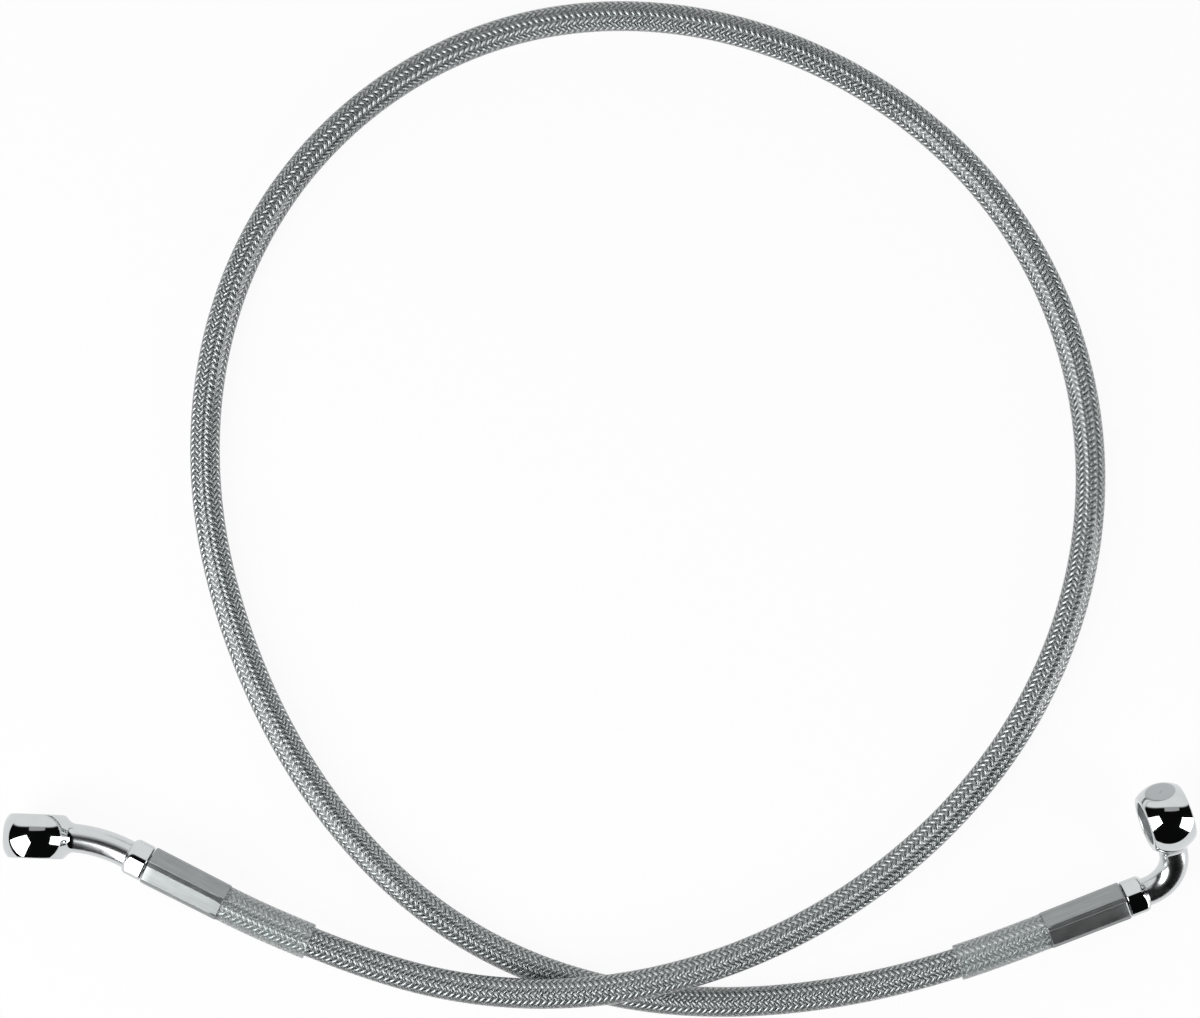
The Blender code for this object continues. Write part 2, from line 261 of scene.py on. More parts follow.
# Studio: the cards' edges are given as parts of a direction's unit vector
FLOOR_SIZE = 40.0
BACKDROP_SHARE = 0.93
CARD_EDGE = (0.58, 0.66)
CARD_BOW = 0.17
CARD_LIGHT = 1.0
LOW_CARD_EDGE = (0.40, 0.44)
LOW_CARD_MIDDLE = 0.17
LOW_CARD_SIDE = (0.42, 0.36)
LOW_CARD_LIGHT = 0.46
CEILING_LIGHT = 0.004
SOFT_BOXES = {
    "left_soft_box": {
        "centre": (-0.473, -0.251, 0.589),
        "width_along": (0.477, -0.865, 0.157),
        "height_along": (0.176, 0.269, 0.947),
        "width": 0.53,
        "height": 0.98,
        "watts": 6.9,
    },
    "right_soft_box": {
        "centre": (0.756, -0.251, 0.300),
        "width_along": (0.315, 0.949, 0.0),
        "height_along": (-0.324, 0.108, 0.940),
        "width": 0.40,
        "height": 0.66,
        "watts": 3.5,
    },
}


def linear(hex_colour):
    """A colour written as sRGB hex, as the linear values that shaders take."""
    shares = [int(hex_colour[i : i + 2], 16) / 255 for i in (1, 3, 5)]
    return tuple(c / 12.92 if c <= 0.04045 else ((c + 0.055) / 1.055) ** 2.4 for c in shares) + (1.0,)


def add(tree, kind, settings=None, values=None, links=None):
    """Adds a shader node with its settings, its constant inputs and its links from other nodes."""
    node = tree.nodes.new("ShaderNode" + kind)
    for name, value in (settings or {}).items():
        setattr(node, name, value)
    for name, value in (values or {}).items():
        node.inputs[name].default_value = value
    for name, (source, output) in (links or {}).items():
        tree.links.new(source.outputs[output], node.inputs[name])
    return node


def new_material(name):
    """A material with an empty tree of nodes, and that tree."""
    material = bpy.data.materials.new(name)
    material.use_nodes = True
    material.node_tree.nodes.clear()
    return material, material.node_tree


def shine_through(tree, shader):
    """Shows a clear shader to the eye and lets the lamps' light straight through it."""
    path = add(tree, "LightPath")
    clear = add(tree, "BsdfTransparent")
    mix = add(tree, "MixShader", links={"Fac": (path, "Is Shadow Ray"), 1: (shader, 0), 2: (clear, 0)})
    add(tree, "OutputMaterial", links={"Surface": (mix, 0)})


# Stainless steel wire, cold drawn to a bright skin: strong glints from each wire, dark between them.
# Its wires and their marks are too fine to show, so they are drawn coarser
def stainless_wire():
    material, tree = new_material("stainless_wire_strands")
    place = add(tree, "UVMap", {"uv_map": "Strand"})
    split = add(tree, "SeparateXYZ", links={"Vector": (place, "UV")})
    wires = add(
        tree, "Math", {"operation": "MULTIPLY"}, {1: 2 * math.pi * WIRES_AROUND_STRAND}, {0: (split, "Y")}
    )
    ridges = add(tree, "Math", {"operation": "COSINE"}, links={0: (wires, 0)})
    bump = add(tree, "Bump", values={"Strength": 0.35, "Distance": 0.05 * MM}, links={"Height": (ridges, 0)})
    stretch = add(
        tree, "Mapping", values={"Scale": (1 / WIRE_MARK_LENGTH, WIRE_MARKS_AROUND, 1.0)},
        links={"Vector": (place, "UV")},
    )
    marks = add(tree, "TexNoise", values={"Scale": 1.0, "Detail": 3.0}, links={"Vector": (stretch, 0)})
    rough = add(
        tree, "MapRange", values=NOISE_SPREAD | {"To Min": 0.22, "To Max": 0.36},
        links={"Value": (marks, "Fac")},
    )
    colour = add(tree, "ValToRGB", links={"Fac": (marks, "Fac")})
    colour.color_ramp.elements[0].position = NOISE_SPREAD["From Min"]
    colour.color_ramp.elements[0].color = linear("#ABAEAE")
    colour.color_ramp.elements[1].position = NOISE_SPREAD["From Max"]
    colour.color_ramp.elements[1].color = linear("#CED1D1")
    shader = add(
        tree, "BsdfPrincipled", values={"Metallic": 1.0},
        links={"Base Color": (colour, 0), "Roughness": (rough, 0), "Normal": (bump, 0)},
    )
    add(tree, "OutputMaterial", links={"Surface": (shader, 0)})
    return material


# Clear PVC, extruded over the braid: glossy, with faint long die marks, and wetted smooth under a sleeve
def clear_vinyl(seam):
    material, tree = new_material("clear_pvc_coat")
    place = add(tree, "UVMap", {"uv_map": "Lengthwise"})
    stretch = add(
        tree, "Mapping", values={"Scale": (1 / COAT_MARK[0], 1 / COAT_MARK[1], 1.0)},
        links={"Vector": (place, "UV")},
    )
    marks = add(tree, "TexNoise", values={"Scale": 1.0, "Detail": 2.0}, links={"Vector": (stretch, 0)})
    bump = add(
        tree, "Bump", values={"Strength": 0.08, "Distance": 0.05 * MM}, links={"Height": (marks, "Fac")}
    )
    rough = add(
        tree, "MapRange", values=NOISE_SPREAD | {"To Min": 0.05, "To Max": 0.12},
        links={"Value": (marks, "Fac")},
    )
    split = add(tree, "SeparateXYZ", links={"Vector": (place, "UV")})
    from_seam = add(tree, "Math", {"operation": "SUBTRACT"}, {1: seam / MM}, {0: (split, "X")})
    from_seam = add(tree, "Math", {"operation": "ABSOLUTE"}, links={0: (from_seam, 0)})
    sleeve_at = (seam - JACKET_END_GAP - SLEEVE_LENGTH) / MM
    sleeved_at = sleeve_at + SLEEVE_FADE / MM
    free = add(
        tree, "MapRange",
        values={"From Min": sleeve_at, "From Max": sleeved_at, "To Min": 1.0, "To Max": 0.0},
        links={"Value": (from_seam, 0)},
    )
    rough = add(tree, "Math", {"operation": "MULTIPLY"}, links={0: (rough, 0), 1: (free, 0)})
    shader = add(
        tree, "BsdfPrincipled",
        values={"Base Color": linear("#EBEEEE"), "IOR": 1.52, "Transmission Weight": 1.0},
        links={"Roughness": (rough, 0), "Normal": (bump, 0)},
    )
    shine_through(tree, shader)
    return material


# Polyolefin shrink tube, recovered by hot air: clear but milky, with a soft waxy skin
def clear_shrink_tube():
    material, tree = new_material("clear_polyolefin_shrink_tube")
    place = add(tree, "UVMap", {"uv_map": "Lengthwise"})
    haze = add(
        tree, "TexNoise", values={"Scale": 1 / SLEEVE_PATCH, "Detail": 3.0}, links={"Vector": (place, "UV")}
    )
    bump = add(
        tree, "Bump", values={"Strength": 0.15, "Distance": 0.10 * MM}, links={"Height": (haze, "Fac")}
    )
    rough = add(
        tree, "MapRange", values=NOISE_SPREAD | {"To Min": 0.07, "To Max": 0.13},
        links={"Value": (haze, "Fac")},
    )
    shader = add(
        tree, "BsdfPrincipled",
        values={"Base Color": linear("#EFF2F2"), "IOR": 1.50, "Transmission Weight": 0.94},
        links={"Roughness": (rough, 0), "Normal": (bump, 0)},
    )
    shine_through(tree, shader)
    return material


# Natural PTFE, paste extruded: white, waxy and a little translucent
def natural_ptfe():
    material, tree = new_material("natural_ptfe_liner")
    place = add(tree, "UVMap", {"uv_map": "Lengthwise"})
    cloud = add(
        tree, "TexNoise", values={"Scale": 1 / LINER_PATCH, "Detail": 2.0}, links={"Vector": (place, "UV")}
    )
    colour = add(tree, "ValToRGB", links={"Fac": (cloud, "Fac")})
    colour.color_ramp.elements[0].color = linear("#D9D9D4")
    colour.color_ramp.elements[1].color = linear("#EDEDE9")
    shader = add(
        tree, "BsdfPrincipled", values={"IOR": 1.36, "Roughness": 0.45}, links={"Base Color": (colour, 0)}
    )
    add(tree, "OutputMaterial", links={"Surface": (shader, 0)})
    return material


# Mild steel collar, turned and then pressed by crimp dies: dull, with long drag marks along it
def crimped_steel():
    material, tree = new_material("crimped_mild_steel")
    place = add(tree, "UVMap", {"uv_map": "Lengthwise"})
    drag = add(
        tree, "Mapping", values={"Scale": (1 / CRIMP_MARK[0], 1 / CRIMP_MARK[1], 1.0)},
        links={"Vector": (place, "UV")},
    )
    marks = add(
        tree, "TexNoise", values={"Scale": 1.0, "Detail": 5.0, "Roughness": 0.6}, links={"Vector": (drag, 0)}
    )
    cloud = add(
        tree, "TexNoise", values={"Scale": 1 / CRIMP_PATCH, "Detail": 2.0}, links={"Vector": (place, "UV")}
    )
    bump = add(
        tree, "Bump", values={"Strength": 0.20, "Distance": 0.04 * MM}, links={"Height": (marks, "Fac")}
    )
    rough = add(
        tree, "MapRange", values=NOISE_SPREAD | {"To Min": 0.36, "To Max": 0.44},
        links={"Value": (cloud, "Fac")},
    )
    colour = add(tree, "ValToRGB", links={"Fac": (marks, "Fac")})
    colour.color_ramp.elements[0].position = 0.25
    colour.color_ramp.elements[0].color = linear("#8F9393")
    colour.color_ramp.elements[1].position = 0.75
    colour.color_ramp.elements[1].color = linear("#A9ADAD")
    shader = add(
        tree, "BsdfPrincipled", values={"Metallic": 1.0},
        links={"Base Color": (colour, 0), "Roughness": (rough, 0), "Normal": (bump, 0)},
    )
    add(tree, "OutputMaterial", links={"Surface": (shader, 0)})
    return material


# Chrome plate on polished steel: a mirror with a faint polishing haze, satin where it was only turned.
# The haze of polishing is too fine to show, so it is drawn as patches
def chrome_plate():
    material, tree = new_material("polished_chrome_plate")
    place = add(tree, "TexCoord")
    haze = add(
        tree, "TexNoise", values={"Scale": 1 / (POLISH_PATCH * MM), "Detail": 3.0},
        links={"Vector": (place, "Object")},
    )
    polish = add(
        tree, "MapRange", values=NOISE_SPREAD | {"To Min": 0.03, "To Max": 0.07},
        links={"Value": (haze, "Fac")},
    )
    inside = add(tree, "Attribute", {"attribute_name": "faced"})
    faced = add(
        tree, "MapRange", values={"From Min": FACED_EDGE[0] / MM, "From Max": FACED_EDGE[1] / MM},
        links={"Value": (inside, "Fac")},
    )
    satin = add(tree, "Attribute", {"attribute_name": "satin"})
    satin = add(
        tree, "Math", {"operation": "MULTIPLY_ADD"}, {1: SATIN_END_FLAT}, {0: (faced, 0), 2: (satin, "Fac")}
    )
    rough = add(
        tree, "Math", {"operation": "MULTIPLY_ADD"}, {1: SATIN_ROUGHNESS}, {0: (satin, 0), 2: (polish, 0)}
    )
    colour = add(tree, "ValToRGB", links={"Fac": (haze, "Fac")})
    colour.color_ramp.elements[0].color = linear("#CACDCE")
    colour.color_ramp.elements[1].color = linear("#D4D7D8")
    colour = add(
        tree, "MixRGB", {"blend_type": "MIX"}, {"Color2": linear("#B0B3B5")},
        {"Fac": (faced, 0), "Color1": (colour, 0)},
    )
    shader = add(
        tree, "BsdfPrincipled", values={"Metallic": 1.0},
        links={"Base Color": (colour, 0), "Roughness": (rough, 0)},
    )
    add(tree, "OutputMaterial", links={"Surface": (shader, 0)})
    return material


def unit(vectors):
    return vectors / np.linalg.norm(vectors, axis=-1, keepdims=True)


def distances(line):
    """How far along a line of points each of them is."""
    return np.concatenate(([0.0], np.cumsum(np.linalg.norm(np.diff(line, axis=0), axis=1))))


def smooth_line(points, start_direction, end_direction, spacing):
    """Evenly spaced points on the cubic spline through the points, with its end directions given."""
    through = np.array(points)
    steps = np.linalg.norm(np.diff(through, axis=0), axis=1)
    count = len(through)
    system = np.eye(count)
    wanted = np.zeros((count, 3))
    wanted[0] = start_direction
    wanted[-1] = end_direction
    for i in range(1, count - 1):
        before, after = steps[i - 1], steps[i]
        system[i, i - 1 : i + 2] = (after, 2 * (before + after), before)
        rise_before = (through[i] - through[i - 1]) / before
        rise_after = (through[i + 1] - through[i]) / after
        wanted[i] = 3 * (after * rise_before + before * rise_after)
    slopes = np.linalg.solve(system, wanted)
    fine = []
    for i in range(count - 1):
        u = np.linspace(0, 1, FINE_STEPS, endpoint=False)[:, None]
        fine.append(
            (1 + 2 * u) * (1 - u) ** 2 * through[i]
            + u * (1 - u) ** 2 * steps[i] * slopes[i]
            + u**2 * (3 - 2 * u) * through[i + 1]
            + u**2 * (u - 1) * steps[i] * slopes[i + 1]
        )
    fine = np.vstack(fine + [through[-1:]])
    along = distances(fine)
    even = np.linspace(0, along[-1], round(along[-1] / spacing) + 1)
    return np.column_stack([np.interp(even, along, fine[:, k]) for k in range(3)])


def mouth_frame(end, mouth):
    """The placement of an end at its collar's mouth: Z along the collar, X to the bend's inside."""
    heading, lean = end["heading"], end["lean"]
    axis = Vector((math.cos(heading), math.sin(heading), 0.0))
    side = Vector((-math.sin(heading), math.cos(heading), 0.0))
    bend_side = math.cos(lean) * side + math.sin(lean) * Vector((0.0, 0.0, 1.0))
    turn = Matrix((bend_side, axis.cross(bend_side), axis)).transposed()
    return Matrix.Translation(mouth) @ turn.to_4x4()


class HoseLine:
    """The hose's middle line with a direction up and one to the side at each of its points."""

    def __init__(self, headings):
        free = smooth_line(ROUTE, -headings["left"], headings["right"], LINE_SPACING)
        self.length = distances(free)[-1]
        left_tip = free[0] + HOSE_IN_COLLAR * headings["left"]
        right_tip = free[-1] + HOSE_IN_COLLAR * headings["right"]
        self.points = np.vstack([left_tip, free, right_tip])
        self.along = distances(self.points) - HOSE_IN_COLLAR
        tangent = unit(np.gradient(self.points, self.along, axis=0))
        upward = np.array([0.0, 0.0, 1.0])
        self.up = unit(upward - tangent * (tangent @ upward)[:, None])
        self.side = np.cross(tangent, self.up)

    def look_up(self, values, along):
        """Points or directions of the line at distances along it."""
        return np.stack([np.interp(along, self.along, values[:, k]) for k in range(3)], axis=-1)

    def around(self, along, angle, radius):
        """Points at distances along the hose, angles round it and radii from its middle."""
        along, angle, radius = np.broadcast_arrays(along, angle, radius)
        out = (
            np.cos(angle)[..., None] * self.look_up(self.up, along)
            + np.sin(angle)[..., None] * self.look_up(self.side, along)
        )
        return self.look_up(self.points, along) + radius[..., None] * out


def grid_faces(rows, columns, closed_rows):
    """Corners of the quads on a grid of points whose columns close round, and where each corner is."""
    row = np.arange(rows if closed_rows else rows - 1)[:, None]
    column = np.arange(columns)[None, :]
    at = np.stack(np.broadcast_arrays(row, column), axis=-1)[:, :, None, :]
    corners = (at + np.array([(0, 0), (0, 1), (1, 1), (1, 0)])).reshape(-1, 2)
    index = (corners[:, 0] % rows) * columns + corners[:, 1] % columns
    return index.reshape(-1, 4), corners


def add_map(mesh, name, places):
    """A map on the mesh with one place for each corner of its faces."""
    layer = mesh.uv_layers.new(name=name)
    layer.uv.foreach_set("vector", np.asarray(places, np.float32).ravel())


def show(name, mesh, material):
    """A smooth object from a mesh, put in the scene with its material."""
    mesh.materials.append(material)
    mesh.shade_smooth()
    piece = bpy.data.objects.new(name, mesh)
    bpy.context.scene.collection.objects.link(piece)
    return piece


def grid_piece(name, points, lengthwise, material, closed_rows=False):
    """A piece from a grid of points, with a map for the bake and one in millimetres along and across."""
    rows, columns = points.shape[:2]
    faces, corners = grid_faces(rows, columns, closed_rows)
    mesh = bpy.data.meshes.new(name)
    mesh.from_pydata(points.reshape(-1, 3).tolist(), [], faces.tolist())
    spread = np.array([rows if closed_rows else rows - 1, columns])
    add_map(mesh, "OFBake", corners / spread)
    along, across = lengthwise
    along = np.append(along, along[0]) if closed_rows else along
    row, column = corners.T
    add_map(mesh, "Lengthwise", np.column_stack([along[row], column / columns * across]) / MM)
    return show(name, mesh, material)


def hose_tube(name, hose, profile, around, material, closed_rows):
    """A tube round the hose from a profile of (distance along, radius) points."""
    along, radius = np.array(profile).T
    angle = np.linspace(0, 2 * math.pi, around, endpoint=False)
    points = hose.around(along[:, None], angle[None, :], radius[:, None])
    return grid_piece(name, points, (along, 2 * math.pi * radius.max()), material, closed_rows)


def wall_profile(start, end, step, outer_r, inner_r):
    """Profile of a tube wall that is open at its start, in the order that turns its faces outwards."""
    along = np.linspace(start, end, max(2, round(abs(end - start) / step) + 1))
    inside = [(s, inner_r) for s in along]
    outside = [(s, outer_r) for s in along[::-1]]
    return inside + outside if end < start else outside[::-1] + inside[::-1]


def bend_at_joint(piece):
    """Bakes the piece's placement into its mesh, so that it stays along the hose as it lies at rest."""
    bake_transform(piece)


# Camera
camera = bpy.data.objects.new("camera", bpy.data.cameras.new("camera"))
camera.location = CAMERA_PLACE
camera.data.sensor_width = SENSOR_WIDTH
camera.data.lens = SENSOR_WIDTH * (CAMERA_PLACE[2] - HOSE_HEIGHT) / (PHOTO_WIDTH * PIXEL_SIZE)
bpy.context.scene.collection.objects.link(camera)
bpy.context.scene.camera = camera

# Hose line, whose two halves meet at the top of the loop
mouths = {"left": ROUTE[0], "right": ROUTE[-1]}
frames = {side: mouth_frame(end, mouths[side]) for side, end in ENDS.items()}
hose = HoseLine({side: np.array(place.to_3x3().col[2]) for side, place in frames.items()})
seam = hose.length / 2
tips = {"left": JACKET_END_GAP, "right": hose.length - JACKET_END_GAP}

# Clear coat, one half for each end
vinyl = clear_vinyl(seam)
for side, tip in tips.items():
    profile = wall_profile(seam, tip, JACKET_STEP, JACKET_R, JACKET_BORE_R)
    jacket = hose_tube(side + "_jacket_half", hose, profile, JACKET_AROUND, vinyl, False)
    bend_at_joint(jacket)
    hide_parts("hose_jacket")

# Liner
ptfe = natural_ptfe()
hidden_tips = {"left": -HOSE_IN_COLLAR, "right": hose.length + HOSE_IN_COLLAR}
for side, tip in hidden_tips.items():
    profile = wall_profile(seam, tip, LINER_STEP, LINER_R, LINER_BORE_R)
    liner = hose_tube(side + "_liner_half", hose, profile, LINER_AROUND, ptfe, False)
    bend_at_joint(liner)
    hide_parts("hose_liner")

# Braid: the section of a strand, and how its crossings follow along the hose
section_across, section_up = np.array(STRAND_SECTION).T * np.array([[STRAND_WIDTH / 2], [STRAND_CROWN]])
crossings_per_metre = 2 * STRANDS / LAY
ring_step = 1 / (crossings_per_metre * RINGS_PER_CROSSING)
braid_angle = math.atan(2 * math.pi * BRAID_MID_R / LAY)


def strand_points(hand, number, rings):
    """Rings of points on one strand, which winds round the hose over two and under two others."""
    along = seam + ring_step * rings[:, None]
    angle = 2 * math.pi * (number / STRANDS + hand * along / LAY)
    crossing = 2 * number + hand * crossings_per_metre * along
    # Over two crossings and under two, so that four crossings are one wave
    wave = np.cos((crossing - 0.5) * math.pi / 2)
    swing = hand * STRAND_SWING * np.tanh(SWING_SHARPNESS * wave) / math.tanh(SWING_SHARPNESS)
    along = along - hand * math.sin(braid_angle) * section_across
    angle = angle + math.cos(braid_angle) * section_across / BRAID_MID_R
    return hose.around(along, angle, BRAID_MID_R + swing + section_up)


def strand_piece(name, hand, numbers, rings, material):
    """Several strands as one piece, open where they go on in the other half and end in the collar."""
    columns = len(STRAND_SECTION)
    ring_length = ring_step / math.cos(braid_angle) / MM
    points, faces, bake, strand_map = [], [], [], []
    for k, number in enumerate(numbers):
        first = sum(len(p) for p in points)
        points.append(strand_points(hand, number, rings).reshape(-1, 3))
        quads, corners = grid_faces(len(rings), columns, False)
        row, column = corners.T
        bake.append(np.column_stack([row / (len(rings) - 1), (k + column / columns) / len(numbers)]))
        strand_map.append(np.column_stack([row * ring_length, column / columns]))
        faces.append(quads + first)
    mesh = bpy.data.meshes.new(name)
    mesh.from_pydata(np.vstack(points).tolist(), [], np.vstack(faces).tolist())
    add_map(mesh, "OFBake", np.vstack(bake))
    add_map(mesh, "Strand", np.vstack(strand_map))
    return show(name, mesh, material)


# Braid in groups of strands that wind the same way
wire = stainless_wire()
braid_tips = {"left": -BRAID_IN_COLLAR, "right": hose.length + BRAID_IN_COLLAR}
for side, tip in braid_tips.items():
    count = int((tip - seam) / ring_step)
    rings = np.arange(0, count + 1) if count > 0 else np.arange(count, 1)
    for hand, lay_name in ((1, "right_hand"), (-1, "left_hand")):
        for first in range(0, STRANDS, STRANDS_PER_PIECE):
            numbers = range(first, first + STRANDS_PER_PIECE)
            name = f"{side}_braid_{lay_name}_{first // STRANDS_PER_PIECE + 1}"
            braid = strand_piece(name, hand, numbers, rings, wire)
            bend_at_joint(braid)
            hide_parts("hose_braid")


# Strain-relief sleeves
def sleeve_profile(tip, inward):
    """Profile of a sleeve wall with rounded lips, from the collar towards the hose's middle."""
    far = tip + inward * SLEEVE_LENGTH
    lip = inward * SLEEVE_ROUNDING
    along = np.linspace(tip + lip, far - lip, round(SLEEVE_LENGTH / SLEEVE_STEP) + 1)
    outside = [(s, SLEEVE_R) for s in along]
    inside = [(s, SLEEVE_BORE_R) for s in along[::-1]]
    top_r = SLEEVE_R - SLEEVE_ROUNDING * (1 - COS_45)
    end_r = SLEEVE_R - SLEEVE_ROUNDING
    far_lip = [(far - lip * (1 - COS_45), top_r), (far, end_r), (far, SLEEVE_BORE_R)]
    near_lip = [(tip, SLEEVE_BORE_R), (tip, end_r), (tip + lip * (1 - COS_45), top_r)]
    profile = outside + far_lip + inside + near_lip
    return profile if inward > 0 else profile[::-1]


shrink_tube = clear_shrink_tube()
for side, inward in (("left", 1), ("right", -1)):
    profile = sleeve_profile(tips[side], inward)
    sleeve = hose_tube(side + "_sleeve", hose, profile, SLEEVE_AROUND, shrink_tube, True)
    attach(sleeve, side + "_end")
    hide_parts(side + "_strain_relief_sleeve")


def soft_max(a, b, softness):
    """The larger of two distances, with the corner between them rounded."""
    overlap = np.maximum(softness - np.abs(a - b), 0.0)
    return np.maximum(a, b) + overlap * overlap / (4 * softness)


def soft_min(a, b, softness):
    """The smaller of two distances, with the corner between them filled."""
    return -soft_max(-a, -b, softness)


# Crimp collars
def collar_angles(turn):
    """Angles round a collar with the ridges' heights there, close together where a flat meets a land."""
    half = math.pi / FLATS
    land = half - math.acos(FLAT_SHARE)
    on_land = np.linspace(-land + LAND_EDGE_ANGLE, land - LAND_EDGE_ANGLE, POINTS_ON_LAND)
    on_flat = np.linspace(land + LAND_EDGE_ANGLE, 2 * half - land - LAND_EDGE_ANGLE, POINTS_ON_FLAT)
    sector = np.concatenate([[-land], on_land, [land], on_flat])
    ridge = np.where(np.isclose(np.abs(sector), land), DIE_RIDGE, 0.0)
    return np.concatenate([turn + 2 * half * k + sector for k in range(FLATS)]), np.tile(ridge, FLATS)


def collar_points(turn):
    """Rings of points round a collar: outside from mouth to shoulder, then back through its bore."""
    angle, ridge = collar_angles(turn)
    half = math.pi / FLATS
    from_flat = (angle - turn) % (2 * half) - half
    pressed = np.minimum(1.0, FLAT_SHARE / np.cos(from_flat))
    flat_edge = math.tan(math.acos(FLAT_SHARE))
    raised = ridge + FLAT_CROWN * np.maximum(0.0, 1 - (np.tan(from_flat) / flat_edge) ** 2)
    shoulder = COLLAR_LENGTH - SHOULDER_ROUNDING
    height = np.linspace(COLLAR_MOUTH_EDGE, shoulder, COLLAR_ROWS)
    grip_start = COLLAR_LENGTH - COLLAR_GRIP_LENGTH
    outer = [(0.0, COLLAR_R_MOUTH - COLLAR_MOUTH_EDGE)]
    outer += zip(height, np.interp(height, (0, COLLAR_LENGTH), (COLLAR_R_MOUTH, COLLAR_R_SHOULDER)))
    corner_r = COLLAR_R_SHOULDER - SHOULDER_ROUNDING
    for round_by in np.linspace(0, math.pi / 2, SHOULDER_ROWS)[1:]:
        up = SHOULDER_ROUNDING * math.sin(round_by)
        out = SHOULDER_ROUNDING * math.cos(round_by)
        outer.append((shoulder + up, corner_r + out))
    inner = [
        (COLLAR_LENGTH, COLLAR_GRIP_R),
        (grip_start, COLLAR_GRIP_R),
        (grip_start, COLLAR_BORE_R),
        (0.0, COLLAR_BORE_R),
    ]
    heights = np.array([z for z, r in outer + inner])
    outer_rings = [r * pressed + raised for z, r in outer]
    inner_rings = [np.full_like(angle, r) for z, r in inner]
    radius = np.vstack(outer_rings + inner_rings)
    rise = np.broadcast_to(heights[:, None], radius.shape)
    return np.stack([radius * np.cos(angle), radius * np.sin(angle), rise], axis=-1), heights


def placed(points, place):
    """Points in an end's own frame, moved to where that end is."""
    move = np.array(place)
    return points @ move[:3, :3].T + move[:3, 3]


steel = crimped_steel()
for side, end in ENDS.items():
    points, heights = collar_points(end["land_turn"])
    points = placed(points, frames[side])
    across = 2 * math.pi * COLLAR_R_MOUTH
    collar = grid_piece(side + "_collar", points, (heights, across), steel, True)
    collar.data.set_sharp_from_angle(angle=COLLAR_SHARP_ANGLE)
    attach(collar, side + "_end")
    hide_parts(side + "_crimp_collar")


